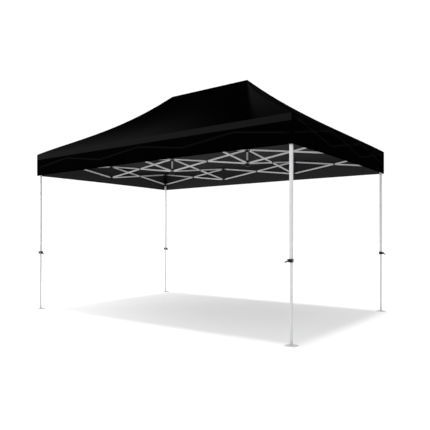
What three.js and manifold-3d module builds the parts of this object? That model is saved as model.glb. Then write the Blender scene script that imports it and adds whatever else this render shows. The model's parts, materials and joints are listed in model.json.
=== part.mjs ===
// Pop up gazebo, 3 m x 4.5 m: four telescoping legs, a folding grid of scissor bars, two peak poles and a
// hipped canopy with a straight valance. Millimetres, +Z up, origin on the floor at the middle of the frame.

import * as THREE from "three";
import { mergeVertices } from "three/addons/utils/BufferGeometryUtils.js";
import Module from "manifold-3d";

const wasm = await Module();
wasm.setup();

// ---- driving dimensions -------------------------------------------------------------------------------
const SPAN = 1395; // level distance between the two pins of a scissor bar, open
const TRUSS_HEIGHT = 190; // from the lower pins to the upper pins, open
const UPPER_PIN_Z = 2400;
const HUB_ARM = 30; // from a hub's axis to its pins
const CORNER_ARM = 45; // from a leg's axis to its pins

const HUB_X = SPAN / 2 + HUB_ARM; // the two middle columns of hubs
const LEG_X = HUB_X + HUB_ARM + SPAN + CORNER_ARM;
const LEG_Y = HUB_ARM + SPAN + CORNER_ARM;
const LOWER_PIN_Z = UPPER_PIN_Z - TRUSS_HEIGHT;

const BAR = { height: 20, thickness: 12, gap: 1 }; // gap: from the truss plane to a bar's face
const TONGUE = { radius: 12, thickness: 12, gap: 0.4 };
const HUB_CORE = { width: 32, height: 46, bore: 25.6, bevel: 4 };
const CORNER_CORE = { width: 62, below: 40, above: 16, bevel: 6 };
const SLIDER = { width: 62, height: 72, clearance: 0.8, bevel: 6 };

const OUTER_LEG = { width: 32, wall: 2.2, bottom: 868, corner: 3 };
const INNER_LEG = { width: 26, top: 1250, corner: 2.5 };
const FOOT = { width: 116, thickness: 6, corner: 10 };
const CLAMP = { width: 46, height: 36, lug: 12, bevel: 5 };
const LEVER = { pivotOut: 8, hubRadius: 7, width: 20, tailLength: 40, tailDrop: 20, tipThickness: 5, gap: 0.5 };
const POLE = { radius: 11, top: 3404, capRadius: 11.4, capLength: 16 };

const CANOPY = {
  halfX: LEG_X + 36,
  halfY: LEG_Y + 36,
  eaveZ: 2424,
  peakZ: 3428,
  hemZ: 2094,
  sag: 0.42, // how far the slopes hang below straight lines, as a share of the roof's rise
  sagPower: 1.6,
  thickness: 3,
};

// ---- colours --------------------------------------------------------------------------------------------
const FINISH = {
  whiteMetal: { color: 0xe6e7e8, roughness: 0.42, metalness: 0.1 },
  blackPlastic: { color: 0x101113, roughness: 0.6, metalness: 0 },
  blackFabric: { color: 0x0b0b0c, roughness: 0.9, metalness: 0, side: THREE.DoubleSide },
};

// ---- solid helpers --------------------------------------------------------------------------------------
function toSolid(geometry) {
  const bare = geometry.index ? geometry.toNonIndexed() : geometry.clone();
  bare.deleteAttribute("normal");
  bare.deleteAttribute("uv");
  const merged = mergeVertices(bare, 1e-4);
  return new wasm.Manifold(
    new wasm.Mesh({
      numProp: 3,
      vertProperties: new Float32Array(merged.attributes.position.array),
      triVerts: new Uint32Array(merged.index.array),
    }),
  );
}

function toGeometry(solid) {
  const mesh = solid.getMesh();
  const geometry = new THREE.BufferGeometry();
  geometry.setAttribute("position", new THREE.BufferAttribute(new Float32Array(mesh.vertProperties), 3));
  geometry.setIndex(new THREE.BufferAttribute(new Uint32Array(mesh.triVerts), 1));
  geometry.computeVertexNormals();
  return geometry;
}

function join(geometries) {
  const solids = geometries.map(toSolid);
  return solids.slice(1).reduce((total, solid) => total.add(solid), solids[0]);
}

// A square outline, centred, with its corners cut or rounded by `corner`.
function squareOutline(width, corner, Path = THREE.Shape) {
  const half = width / 2;
  const inner = half - corner;
  const outline = new Path();
  outline.moveTo(-inner, -half);
  outline.lineTo(inner, -half);
  outline.lineTo(half, -inner);
  outline.lineTo(half, inner);
  outline.lineTo(inner, half);
  outline.lineTo(-inner, half);
  outline.lineTo(-half, inner);
  outline.lineTo(-half, -inner);
  outline.closePath();
  return outline;
}

// An upright prism of an outline between two heights.
function prism(outline, bottom, top) {
  const geometry = new THREE.ExtrudeGeometry(outline, { depth: top - bottom, bevelEnabled: false });
  return geometry.translate(0, 0, bottom);
}

function block(x, y, z, sizeX, sizeY, sizeZ) {
  return new THREE.BoxGeometry(sizeX, sizeY, sizeZ).translate(x, y, z);
}

// Turns a profile drawn in the XY plane and extruded along +Z so that it stands upright along `heading`.
// Afterwards its own x runs along the heading, its own y runs up, and its depth runs to `side`.
function stand(geometry, heading) {
  const along = heading.clone();
  const up = new THREE.Vector3(0, 0, 1);
  const across = new THREE.Vector3().crossVectors(along, up);
  return geometry.applyMatrix4(new THREE.Matrix4().makeBasis(along, up, across));
}

const HEADINGS = {
  right: new THREE.Vector3(1, 0, 0),
  left: new THREE.Vector3(-1, 0, 0),
  back: new THREE.Vector3(0, 1, 0),
  front: new THREE.Vector3(0, -1, 0),
};

// ---- scissor bars ---------------------------------------------------------------------------------------
// Bars that fall towards +X or +Y lie on the positive side of their truss plane, rising ones on the negative.
function barGeometry(slope) {
  const radius = BAR.height / 2;
  const length = Math.hypot(SPAN, TRUSS_HEIGHT);
  const outline = new THREE.Shape();
  outline.moveTo(0, -radius);
  outline.lineTo(length, -radius);
  outline.absarc(length, 0, radius, -Math.PI / 2, Math.PI / 2, false);
  outline.lineTo(0, radius);
  outline.absarc(0, 0, radius, Math.PI / 2, (3 * Math.PI) / 2, false);
  const tilt = Math.atan2(TRUSS_HEIGHT, SPAN) * slope;
  const flat = new THREE.ExtrudeGeometry(outline, {
    depth: BAR.thickness,
    bevelEnabled: false,
    curveSegments: 4,
  });
  return flat.rotateZ(tilt);
}

// start: the pin nearer to -X or -Y. slope: -1 falls away from it, +1 rises.
function makeBar(name, startX, startY, alongY, slope) {
  const geometry = barGeometry(slope);
  const upright = stand(geometry, alongY ? HEADINGS.back : HEADINGS.right);
  const side = slope < 0 ? 1 : -1;
  const middle = side * (BAR.gap + BAR.thickness / 2);
  const shift = alongY ? middle - BAR.thickness / 2 : middle + BAR.thickness / 2;
  const startZ = slope < 0 ? UPPER_PIN_Z : LOWER_PIN_Z;
  const mesh = makeMesh(name, upright, FINISH.whiteMetal);
  mesh.position.set(startX + (alongY ? shift : 0), startY + (alongY ? 0 : shift), startZ);
  return mesh;
}

function makeMesh(name, geometry, finish) {
  const mesh = new THREE.Mesh(geometry, new THREE.MeshStandardMaterial(finish));
  mesh.name = name;
  return mesh;
}

// ---- hubs -----------------------------------------------------------------------------------------------
// One tongue that reaches from an axis to a pin and holds one side of a bar's end.
function tongue(headingName, arm, level) {
  const outline = new THREE.Shape();
  outline.moveTo(0, -TONGUE.radius);
  outline.lineTo(arm, -TONGUE.radius);
  outline.absarc(arm, 0, TONGUE.radius, -Math.PI / 2, Math.PI / 2, false);
  outline.lineTo(0, TONGUE.radius);
  outline.closePath();
  const flat = new THREE.ExtrudeGeometry(outline, {
    depth: TONGUE.thickness,
    bevelEnabled: false,
    curveSegments: 5,
  });
  flat.translate(0, 0, -TONGUE.thickness / 2);
  const plate = stand(flat, HEADINGS[headingName]);
  const forward = headingName === "right" || headingName === "back";
  const barSide = forward === (level === "upper") ? 1 : -1;
  const shift = -barSide * (TONGUE.thickness / 2 - TONGUE.gap);
  const alongX = headingName === "right" || headingName === "left";
  return alongX ? plate.translate(0, shift, 0) : plate.translate(shift, 0, 0);
}

function boreSolid(radius) {
  const bore = new THREE.CylinderGeometry(radius, radius, HUB_CORE.height * 2, 12);
  return toSolid(bore.rotateX(Math.PI / 2));
}

// headings: which ways the hub's tongues point. On the frame's edge the inward one is as long as a corner's.
function hubSolid(headings, level, inward) {
  const half = HUB_CORE.height / 2;
  const top = level === "upper" ? CORNER_CORE.above : half;
  const bottom = level === "upper" ? -HUB_CORE.height + CORNER_CORE.above : -half;
  const core = prism(squareOutline(HUB_CORE.width, HUB_CORE.bevel), bottom, top);
  const tongues = headings.map((heading) =>
    tongue(heading, heading === inward ? CORNER_ARM : HUB_ARM, level),
  );
  return join([core, ...tongues]);
}

// inward: the heading that leads to the middle row, or nothing for a centre hub, which the peak pole crosses.
function makeUpperHub(name, x, y, headings, inward) {
  const solid = hubSolid(headings, "upper", inward);
  const shape = inward ? solid : solid.subtract(boreSolid(HUB_CORE.bore / 2));
  const mesh = makeMesh(name, toGeometry(shape), FINISH.blackPlastic);
  mesh.position.set(x, y, UPPER_PIN_Z);
  return mesh;
}

// The lower centre hub carries the peak pole, which runs up through the upper hub's bore to the ridge.
function makePeakPole(name, x, headings) {
  const hub = hubSolid(headings, "lower");
  const length = POLE.top - LOWER_PIN_Z;
  const tube = new THREE.CylinderGeometry(POLE.radius, POLE.radius, length, 12);
  tube.rotateX(Math.PI / 2).translate(0, 0, length / 2);
  const cap = new THREE.CylinderGeometry(POLE.capRadius, POLE.capRadius, POLE.capLength, 12);
  cap.rotateX(Math.PI / 2).translate(0, 0, length);
  const mesh = makeMesh(name, toGeometry(hub.add(join([tube, cap]))), FINISH.whiteMetal);
  mesh.position.set(x, 0, LOWER_PIN_Z);
  return mesh;
}

// ---- legs -----------------------------------------------------------------------------------------------
// An outer leg is a square tube with the corner fitting at its top and the clamp at its foot.
function makeOuterLeg(name, corner) {
  const outline = squareOutline(OUTER_LEG.width, OUTER_LEG.corner);
  const hollow = OUTER_LEG.width - 2 * OUTER_LEG.wall;
  const tube = prism(outline, OUTER_LEG.bottom, UPPER_PIN_Z);
  const fitting = prism(
    squareOutline(CORNER_CORE.width, CORNER_CORE.bevel),
    UPPER_PIN_Z - CORNER_CORE.below,
    UPPER_PIN_Z + CORNER_CORE.above,
  );
  const tongues = [corner.inwardX, corner.inwardY].map((heading) =>
    tongue(heading, CORNER_ARM, "upper").translate(0, 0, UPPER_PIN_Z),
  );
  const clamp = prism(
    squareOutline(CLAMP.width, CLAMP.bevel),
    OUTER_LEG.bottom,
    OUTER_LEG.bottom + CLAMP.height,
  );
  const body = join([tube, fitting, ...tongues, clamp, ...clampEars(corner.lever)]);
  const bore = prism(squareOutline(hollow, 1), OUTER_LEG.bottom - 1, UPPER_PIN_Z - CORNER_CORE.below);
  const mesh = makeMesh(name, toGeometry(body.subtract(toSolid(bore))), FINISH.whiteMetal);
  mesh.position.set(corner.x, corner.y, 0);
  return mesh;
}

function leverPivot() {
  return new THREE.Vector3(CLAMP.width / 2 + LEVER.pivotOut, 0, OUTER_LEG.bottom + CLAMP.height / 2);
}

// Two ears that hold the lever's pin, drawn for a lever that points along +X and turned to `heading`.
function clampEars(heading) {
  const pivot = leverPivot();
  const reach = LEVER.pivotOut + LEVER.hubRadius;
  const earWidth = 5;
  return [-1, 1].map((side) => {
    const y = side * (LEVER.width / 2 + LEVER.gap + earWidth / 2);
    const ear = block(pivot.x - LEVER.pivotOut + reach / 2 - 1, y, pivot.z, reach + 2, earWidth, 16);
    return ear.rotateZ(Math.atan2(HEADINGS[heading].y, HEADINGS[heading].x));
  });
}

function makeLever(name, corner) {
  const outline = new THREE.Shape();
  const radius = LEVER.hubRadius;
  outline.absarc(0, 0, radius, Math.PI / 3, (4 * Math.PI) / 3, false);
  outline.lineTo(LEVER.tailLength * 0.45, -LEVER.tailDrop * 0.75);
  outline.lineTo(LEVER.tailLength, -LEVER.tailDrop);
  outline.lineTo(LEVER.tailLength, -LEVER.tailDrop + LEVER.tipThickness);
  outline.lineTo(LEVER.tailLength * 0.55, -LEVER.tailDrop * 0.3);
  outline.closePath();
  const flat = new THREE.ExtrudeGeometry(outline, {
    depth: LEVER.width,
    bevelEnabled: false,
    curveSegments: 6,
  });
  flat.translate(0, 0, -LEVER.width / 2);
  const heading = HEADINGS[corner.lever];
  const mesh = makeMesh(name, stand(flat, heading), FINISH.blackPlastic);
  const pivot = leverPivot();
  mesh.position.set(corner.x + heading.x * pivot.x, corner.y + heading.y * pivot.x, pivot.z);
  return mesh;
}

function makeInnerLeg(name, corner) {
  const tube = prism(squareOutline(INNER_LEG.width, INNER_LEG.corner), FOOT.thickness / 2, INNER_LEG.top);
  const foot = prism(squareOutline(FOOT.width, FOOT.corner), 0, FOOT.thickness);
  const mesh = makeMesh(name, toGeometry(join([tube, foot])), FINISH.whiteMetal);
  mesh.position.set(corner.x, corner.y, 0);
  return mesh;
}

function makeSlider(name, corner) {
  const half = SLIDER.height / 2;
  const sleeve = prism(squareOutline(SLIDER.width, SLIDER.bevel), -half, half);
  const tongues = [corner.inwardX, corner.inwardY].map((heading) => tongue(heading, CORNER_ARM, "lower"));
  const channel = prism(
    squareOutline(OUTER_LEG.width + 2 * SLIDER.clearance, OUTER_LEG.corner),
    -half - 1,
    half + 1,
  );
  const solid = join([sleeve, ...tongues]).subtract(toSolid(channel));
  const mesh = makeMesh(name, toGeometry(solid), FINISH.blackPlastic);
  mesh.position.set(corner.x, corner.y, LOWER_PIN_Z);
  return mesh;
}

// ---- canopy ---------------------------------------------------------------------------------------------
const ROOF_STEPS = [0, 0.12, 0.25, 0.4, 0.6, 0.8, 1];
const SIDE_STEPS = { long: 12, short: 8 };

// Height over the eave at a share t of the way from the ridge to the eave.
function roofRise(t) {
  return 1 - t - CANOPY.sag * t * (1 - t) ** CANOPY.sagPower;
}

// A closed ring of points round the roof at share t, starting at the front left corner, seen from above.
function roofRing(t, inset, z) {
  const halfX = HUB_X + t * (CANOPY.halfX - inset - HUB_X);
  const halfY = t * (CANOPY.halfY - inset);
  const corners = [
    [-halfX, -halfY, SIDE_STEPS.long],
    [halfX, -halfY, SIDE_STEPS.short],
    [halfX, halfY, SIDE_STEPS.long],
    [-halfX, halfY, SIDE_STEPS.short],
  ];
  return corners.flatMap(([x, y, steps], index) => {
    const [nextX, nextY] = corners[(index + 1) % corners.length];
    return Array.from({ length: steps }, (_, step) => {
      const share = step / steps;
      return new THREE.Vector3(x + (nextX - x) * share, y + (nextY - y) * share, z);
    });
  });
}

function canopyRings(inset) {
  const rise = CANOPY.peakZ - CANOPY.eaveZ;
  const roof = ROOF_STEPS.map((t) => roofRing(t, inset, CANOPY.eaveZ + rise * roofRise(t) - inset));
  return [...roof, roofRing(1, inset, CANOPY.hemZ)];
}

function makeCanopy(name) {
  const outside = canopyRings(0);
  const inside = canopyRings(CANOPY.thickness).reverse();
  const rings = [...outside, ...inside];
  const points = [];
  for (let row = 0; row < rings.length - 1; row += 1) {
    const upper = rings[row];
    const lower = rings[row + 1];
    for (let column = 0; column < upper.length; column += 1) {
      const next = (column + 1) % upper.length;
      pushTriangle(points, upper[column], lower[column], lower[next]);
      pushTriangle(points, upper[column], lower[next], upper[next]);
    }
  }
  const geometry = new THREE.BufferGeometry();
  geometry.setAttribute("position", new THREE.Float32BufferAttribute(points, 3));
  return makeMesh(name, toGeometry(toSolid(geometry)), FINISH.blackFabric);
}

// Adds a triangle unless two of its corners meet, as they do along the ridge.
function pushTriangle(points, a, b, c) {
  const smallest = Math.min(a.distanceTo(b), b.distanceTo(c), c.distanceTo(a));
  if (smallest > 0.01) {
    points.push(...a.toArray(), ...b.toArray(), ...c.toArray());
  }
}

// ---- the whole gazebo -----------------------------------------------------------------------------------
const CORNERS = [
  { name: "front_left", x: -LEG_X, y: -LEG_Y, inwardX: "right", inwardY: "back", lever: "right" },
  { name: "front_right", x: LEG_X, y: -LEG_Y, inwardX: "left", inwardY: "back", lever: "left" },
  { name: "back_left", x: -LEG_X, y: LEG_Y, inwardX: "right", inwardY: "front", lever: "right" },
  { name: "back_right", x: LEG_X, y: LEG_Y, inwardX: "left", inwardY: "front", lever: "right" },
];

const gazebo = new THREE.Group();

for (const corner of CORNERS) {
  gazebo.add(makeOuterLeg(`outer_leg_${corner.name}`, corner));
  gazebo.add(makeInnerLeg(`inner_leg_${corner.name}`, corner));
  gazebo.add(makeSlider(`slider_${corner.name}`, corner));
  gazebo.add(makeLever(`clamp_lever_${corner.name}`, corner));
}

const ALL_ROUND = ["right", "left", "back", "front"];
const SIDES = [
  { name: "left", x: -HUB_X },
  { name: "right", x: HUB_X },
];
for (const side of SIDES) {
  gazebo.add(makeUpperHub(`hub_upper_centre_${side.name}`, side.x, 0, ALL_ROUND));
  gazebo.add(makePeakPole(`peak_pole_${side.name}`, side.x, ALL_ROUND));
  gazebo.add(makeUpperHub(`hub_upper_front_${side.name}`, side.x, -LEG_Y, ["right", "left", "back"], "back"));
  gazebo.add(makeUpperHub(`hub_upper_back_${side.name}`, side.x, LEG_Y, ["right", "left", "front"], "front"));
}

// The first pin of each span, at its end nearer to -X or -Y. Its arm is the corner's at a leg, else the hub's.
const X_SPANS = [
  { name: "left", edge: -LEG_X },
  { name: "centre", edge: -HUB_X },
  { name: "right", edge: HUB_X },
];
const ROWS = [
  { name: "front", y: -LEG_Y },
  { name: "middle", y: 0 },
  { name: "back", y: LEG_Y },
];
const Y_SPANS = [
  { name: "front", edge: -LEG_Y + CORNER_ARM },
  { name: "back", edge: HUB_ARM },
];
const COLUMNS = [
  { name: "left_end", x: -LEG_X },
  { name: "left_hub", x: -HUB_X },
  { name: "right_hub", x: HUB_X },
  { name: "right_end", x: LEG_X },
];
const SLOPES = [
  { name: "fall", value: -1 },
  { name: "rise", value: 1 },
];

for (const slope of SLOPES) {
  for (const row of ROWS) {
    for (const span of X_SPANS) {
      const arm = span.name === "left" ? CORNER_ARM : HUB_ARM;
      const name = `bar_${row.name}_${span.name}_${slope.name}`;
      gazebo.add(makeBar(name, span.edge + arm, row.y, false, slope.value));
    }
  }
  for (const column of COLUMNS) {
    for (const span of Y_SPANS) {
      const name = `bar_${column.name}_${span.name}_${slope.name}`;
      gazebo.add(makeBar(name, column.x, span.edge, true, slope.value));
    }
  }
}

gazebo.add(makeCanopy("canopy"));

export default gazebo;
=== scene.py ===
"""Pop up gazebo, 3 m x 4.5 m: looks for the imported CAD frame. Metres, +Z up, origin on the floor.

The CAD bars, legs, hubs and levers stay as they are and get materials, soft edges and small fittings. The
canopy, its seams and its hem are built here, and so are the hubs that the CAD model leaves out.
"""

import json
import math

import bmesh
import bpy
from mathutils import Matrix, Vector


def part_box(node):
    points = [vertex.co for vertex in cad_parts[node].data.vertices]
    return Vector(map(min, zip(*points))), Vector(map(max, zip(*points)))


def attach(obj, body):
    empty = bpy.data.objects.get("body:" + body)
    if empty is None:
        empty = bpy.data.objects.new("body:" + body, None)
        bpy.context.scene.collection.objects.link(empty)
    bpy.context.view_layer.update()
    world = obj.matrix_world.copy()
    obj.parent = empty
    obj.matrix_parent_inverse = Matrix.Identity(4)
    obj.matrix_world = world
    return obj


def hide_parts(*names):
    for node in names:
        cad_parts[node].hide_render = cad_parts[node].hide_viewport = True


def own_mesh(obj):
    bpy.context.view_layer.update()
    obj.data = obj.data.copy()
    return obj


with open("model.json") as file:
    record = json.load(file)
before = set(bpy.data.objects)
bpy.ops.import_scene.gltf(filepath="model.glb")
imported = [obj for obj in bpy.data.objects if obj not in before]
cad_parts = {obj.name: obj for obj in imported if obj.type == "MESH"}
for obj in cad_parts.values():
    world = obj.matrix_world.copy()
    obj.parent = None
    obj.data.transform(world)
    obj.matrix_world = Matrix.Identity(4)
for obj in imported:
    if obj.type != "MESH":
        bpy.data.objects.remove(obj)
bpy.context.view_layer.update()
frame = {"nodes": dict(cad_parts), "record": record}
JOINTS = {j["name"]: j for j in frame["record"]["behaviour"]["joints"]}
ROOT_BODY = "hub_upper_centre_left"
FOLD = "frame_fold"

# ---- places, worked out from the frame ----------------------------------------------------------------
SIDES = {"left": -1, "right": 1}
ENDS = {"front": -1, "back": 1}
INNER_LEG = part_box("inner_leg_front_right")
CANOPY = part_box("canopy")
LEG_X = (INNER_LEG[0][0] + INNER_LEG[1][0]) / 2
LEG_Y = -(INNER_LEG[0][1] + INNER_LEG[1][1]) / 2
HUB_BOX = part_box("hub_upper_centre_right")
HUB_X = (HUB_BOX[0][0] + HUB_BOX[1][0]) / 2
UPPER_PIN_Z = JOINTS[FOLD]["pos_m"][2]
LOWER_PIN_Z = JOINTS["hinge_peak_pole_left"]["pos_m"][2]
HUB_ARM = JOINTS[FOLD]["pos_m"][0] + HUB_X
CORNER_ARM = JOINTS["hinge_outer_leg_front_left"]["pos_m"][0] + LEG_X
SPAN = 2 * (HUB_X - HUB_ARM)
CLAMP_Z = JOINTS["clamp_front_left"]["pos_m"][2]
UP = Vector((0, 0, 1))

BAR_THICKNESS = 0.012
BAR_HEIGHT = 0.020
TRUSS_GAP = 0.001  # from the middle plane of a scissor pair to the face of each bar

# ---- canopy shape ---------------------------------------------------------------------------------------
HEM_Z = CANOPY[0][2]
PEAK_Z = CANOPY[1][2]
HALF_X = CANOPY[1][0]
HALF_Y = CANOPY[1][1]
VALANCE_DROP = 0.330
EAVE_Z = HEM_Z + VALANCE_DROP
ROOF_SAG_LEFT = 0.56  # the cloth is a little looser at the left end
ROOF_SAG_RIGHT = 0.31
SAG_POWER = 1.6
PANEL_BELLY = 0.018  # how far the middle of a roof panel hangs below its hips
CLOTH_THICKNESS = 0.0012
EAVE_BAND = 0.088  # the doubled cloth under the eave, which leans out over the top of the truss
BAND_LEAN = 0.011
HEM_WAVE = 0.0025
HEM_RISE = 0.006
HEM_RIPPLES = ((19, 2.1, 1.0), (43, 1.0, 0.6))  # how close, how they shift from side to side, how strong
PRESS_DEPTH = 0.0030
PRESS_WIDTH = 0.0075
PRESS_TOP = EAVE_Z - UPPER_PIN_Z  # the pressed lines turn at the heights of the pins
PRESS_BOTTOM = EAVE_Z - LOWER_PIN_Z
ROOF_ROWS = 44
VALANCE_ROWS = 44
SIDE_COLUMNS = (132, 88, 132, 88)  # front, right, back, left
ZIGZAGS = 3  # crossed pairs of pressed lines on each side of the valance
SIDE_NORMALS = ((0, -1), (1, 0), (0, 1), (-1, 0))

# Tones of painted light run from 0 for the darkest cloth to 1 for the palest.
BAND_PAINTED_LIGHT = (1.0, 0.1, 1.0, 0.1)  # painted light on the band under the eave, on each side: pale on the front and back
BAND_EDGE = 0.0025  # metres over which the band's tone ends
# Painted highlight along the pressed lines.
PRESS_HIGHLIGHT = 0.58
EAVE_PAINTED_LIGHT = 0.95  # painted light low on the long slopes
EAVE_PAINTED_LIGHT_END = (0.42, 0.85)  # where it dies out, as a share of the eave
HIP_PAINTED_LIGHT = (0.64, 0.74)  # where the painted light beside a hip begins, as a share of the way to the hip
NEAR_RIDGE = 0.01


# ---- materials ------------------------------------------------------------------------------------------
def new_material(name):
    material = bpy.data.materials.new(name)
    material.use_nodes = True
    tree = material.node_tree
    return material, tree, tree.nodes["Principled BSDF"]


def add_node(tree, kind, **settings):
    node = tree.nodes.new(kind)
    for key, value in settings.items():
        setattr(node, key, value)
    return node


def noise(tree, vector, scale, detail=3.0, roughness=0.5):
    node = add_node(tree, "ShaderNodeTexNoise")
    node.inputs["Scale"].default_value = scale
    node.inputs["Detail"].default_value = detail
    node.inputs["Roughness"].default_value = roughness
    tree.links.new(vector, node.inputs["Vector"])
    return node.outputs["Fac"]


def spread(tree, value, low, high, from_low=0.3, from_high=0.7):
    node = add_node(tree, "ShaderNodeMapRange")
    node.inputs["From Min"].default_value = from_low
    node.inputs["From Max"].default_value = from_high
    node.inputs["To Min"].default_value = low
    node.inputs["To Max"].default_value = high
    tree.links.new(value, node.inputs["Value"])
    return node.outputs["Result"]


def mix_colour(tree, factor, first, second):
    node = add_node(tree, "ShaderNodeMix", data_type="RGBA")
    tree.links.new(factor, node.inputs["Factor"])
    for socket, colour in ((node.inputs[6], first), (node.inputs[7], second)):
        if isinstance(colour, bpy.types.NodeSocket):
            tree.links.new(colour, socket)
        else:
            socket.default_value = (*colour, 1.0)
    return node.outputs[2]


def math_node(tree, operation, first, second=None):
    node = add_node(tree, "ShaderNodeMath", operation=operation)
    for socket, value in zip(node.inputs, (first, second)):
        if isinstance(value, bpy.types.NodeSocket):
            tree.links.new(value, socket)
        elif value is not None:
            socket.default_value = value
    return node.outputs["Value"]


def bump(tree, shader, height, strength, distance):
    node = add_node(tree, "ShaderNodeBump")
    node.inputs["Strength"].default_value = strength
    node.inputs["Distance"].default_value = distance
    tree.links.new(height, node.inputs["Height"])
    tree.links.new(node.outputs["Normal"], shader.inputs["Normal"])


def object_coordinates(tree):
    return add_node(tree, "ShaderNodeTexCoord").outputs["Object"]


def powder_coat(name, colour, shade, roughness, near_ground):
    """Painted metal: slight orange peel and a little unevenness. near_ground: grime gathers at the foot."""
    material, tree, shader = new_material(name)
    place = object_coordinates(tree)
    blotches = spread(tree, noise(tree, place, 9.0), 0.0, 1.0)
    paint = mix_colour(tree, blotches, colour, shade)
    if near_ground:
        height = add_node(tree, "ShaderNodeSeparateXYZ")
        tree.links.new(place, height.inputs[0])
        low = spread(tree, height.outputs["Z"], 0.28, 0.0, 0.0, 0.12)
        grime = math_node(tree, "MULTIPLY", low, spread(tree, noise(tree, place, 60.0, 6.0, 0.7), 0.2, 1.0))
        paint = mix_colour(tree, grime, paint, (0.34, 0.33, 0.31))
    tree.links.new(paint, shader.inputs["Base Color"])
    uneven = spread(tree, noise(tree, place, 35.0, 4.0), roughness - 0.06, roughness + 0.08)
    tree.links.new(uneven, shader.inputs["Roughness"])
    shader.inputs["Metallic"].default_value = 0.0
    shader.inputs["Coat Weight"].default_value = 0.15
    shader.inputs["Coat Roughness"].default_value = 0.3
    bump(tree, shader, noise(tree, place, 900.0, 2.0), 0.12, 0.0004)
    return material


def moulded_plastic(name, colour, roughness):
    """Nylon with a fine spark-eroded grain and paler scuffs."""
    material, tree, shader = new_material(name)
    place = object_coordinates(tree)
    scuffs = spread(tree, noise(tree, place, 120.0, 8.0, 0.75), 0.0, 1.0, 0.62, 0.75)
    tint = mix_colour(tree, scuffs, colour, tuple(c + 0.012 for c in colour))
    tree.links.new(tint, shader.inputs["Base Color"])
    uneven = spread(tree, noise(tree, place, 50.0, 4.0), roughness - 0.08, roughness + 0.08)
    tree.links.new(uneven, shader.inputs["Roughness"])
    shader.inputs["Specular IOR Level"].default_value = 0.12
    bump(tree, shader, noise(tree, place, 2600.0, 3.0), 0.25, 0.0002)
    return material


def bright_steel(name):
    material, tree, shader = new_material(name)
    place = object_coordinates(tree)
    shader.inputs["Metallic"].default_value = 1.0
    tint = mix_colour(tree, noise(tree, place, 80.0), (0.55, 0.56, 0.58), (0.68, 0.69, 0.70))
    tree.links.new(tint, shader.inputs["Base Color"])
    tree.links.new(spread(tree, noise(tree, place, 300.0), 0.22, 0.38), shader.inputs["Roughness"])
    bump(tree, shader, noise(tree, place, 700.0), 0.1, 0.0002)
    return material


WEAVE_PITCH = 0.0011  # metres from yarn to yarn


def woven_fabric(name, colour, pale, roughness, specular, has_painted_light):
    """Coated woven polyester with soft patches and creases. The last argument says whether the mesh's tone
    attribute adds painted light, how pale the cloth is where.
    """
    material, tree, shader = new_material(name)
    place = object_coordinates(tree)
    parts = add_node(tree, "ShaderNodeSeparateXYZ")
    tree.links.new(add_node(tree, "ShaderNodeTexCoord").outputs["UV"], parts.inputs[0])
    turns = math.pi / WEAVE_PITCH
    warp = math_node(tree, "SINE", math_node(tree, "MULTIPLY", parts.outputs["X"], turns))
    weft = math_node(tree, "SINE", math_node(tree, "MULTIPLY", parts.outputs["Y"], turns))
    yarns = math_node(tree, "MULTIPLY", warp, weft)
    patches = spread(tree, noise(tree, place, 1.6, 4.0), 0.0, 0.04)
    slubs = spread(tree, noise(tree, place, 420.0, 2.0), 0.0, 0.03)
    blend = math_node(tree, "ADD", patches, slubs)
    if has_painted_light:
        # The tone attribute carries painted light from the mesh.
        tone = add_node(tree, "ShaderNodeAttribute", attribute_name="tone").outputs["Fac"]
        blend = math_node(tree, "ADD", blend, math_node(tree, "MULTIPLY", tone, 0.8))
    tree.links.new(mix_colour(tree, blend, colour, pale), shader.inputs["Base Color"])
    uneven = spread(tree, noise(tree, place, 5.0, 5.0), roughness - 0.05, roughness + 0.06)
    tree.links.new(uneven, shader.inputs["Roughness"])
    shader.inputs["Specular IOR Level"].default_value = specular
    creases = math_node(tree, "MULTIPLY", noise(tree, place, 3.2, 5.0, 0.6), 6.0)
    height = math_node(tree, "ADD", math_node(tree, "MULTIPLY", yarns, 0.5), creases)
    bump(tree, shader, height, 0.35, 0.0006)
    return material


STITCH_PITCH = 0.004


def stitched_webbing(name, colour, thread):
    """Folded fabric tape with two rows of lock stitch, along the tape's own length."""
    material, tree, shader = new_material(name)
    place = object_coordinates(tree)
    parts = add_node(tree, "ShaderNodeSeparateXYZ")
    tree.links.new(add_node(tree, "ShaderNodeTexCoord").outputs["UV"], parts.inputs[0])
    across = math_node(tree, "ABSOLUTE", parts.outputs["Y"])
    row = math_node(tree, "COMPARE", across, 0.006)
    row.node.inputs[2].default_value = 0.0007
    turns = math_node(tree, "MULTIPLY", parts.outputs["X"], 2 * math.pi / STITCH_PITCH)
    dash = math_node(tree, "SINE", turns)
    stitches = math_node(tree, "MULTIPLY", row, math_node(tree, "GREATER_THAN", dash, -0.35))
    tree.links.new(mix_colour(tree, stitches, colour, thread), shader.inputs["Base Color"])
    shader.inputs["Roughness"].default_value = 0.85
    shader.inputs["Specular IOR Level"].default_value = 0.0
    ribs = math_node(tree, "SINE", math_node(tree, "MULTIPLY", parts.outputs["X"], math.pi / WEAVE_PITCH))
    raised = math_node(tree, "MULTIPLY", stitches, 1.5)
    height = math_node(tree, "ADD", raised, math_node(tree, "MULTIPLY", ribs, 0.3))
    grain = math_node(tree, "ADD", height, noise(tree, place, 200.0))
    bump(tree, shader, grain, 0.4, 0.0005)
    return material


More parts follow.
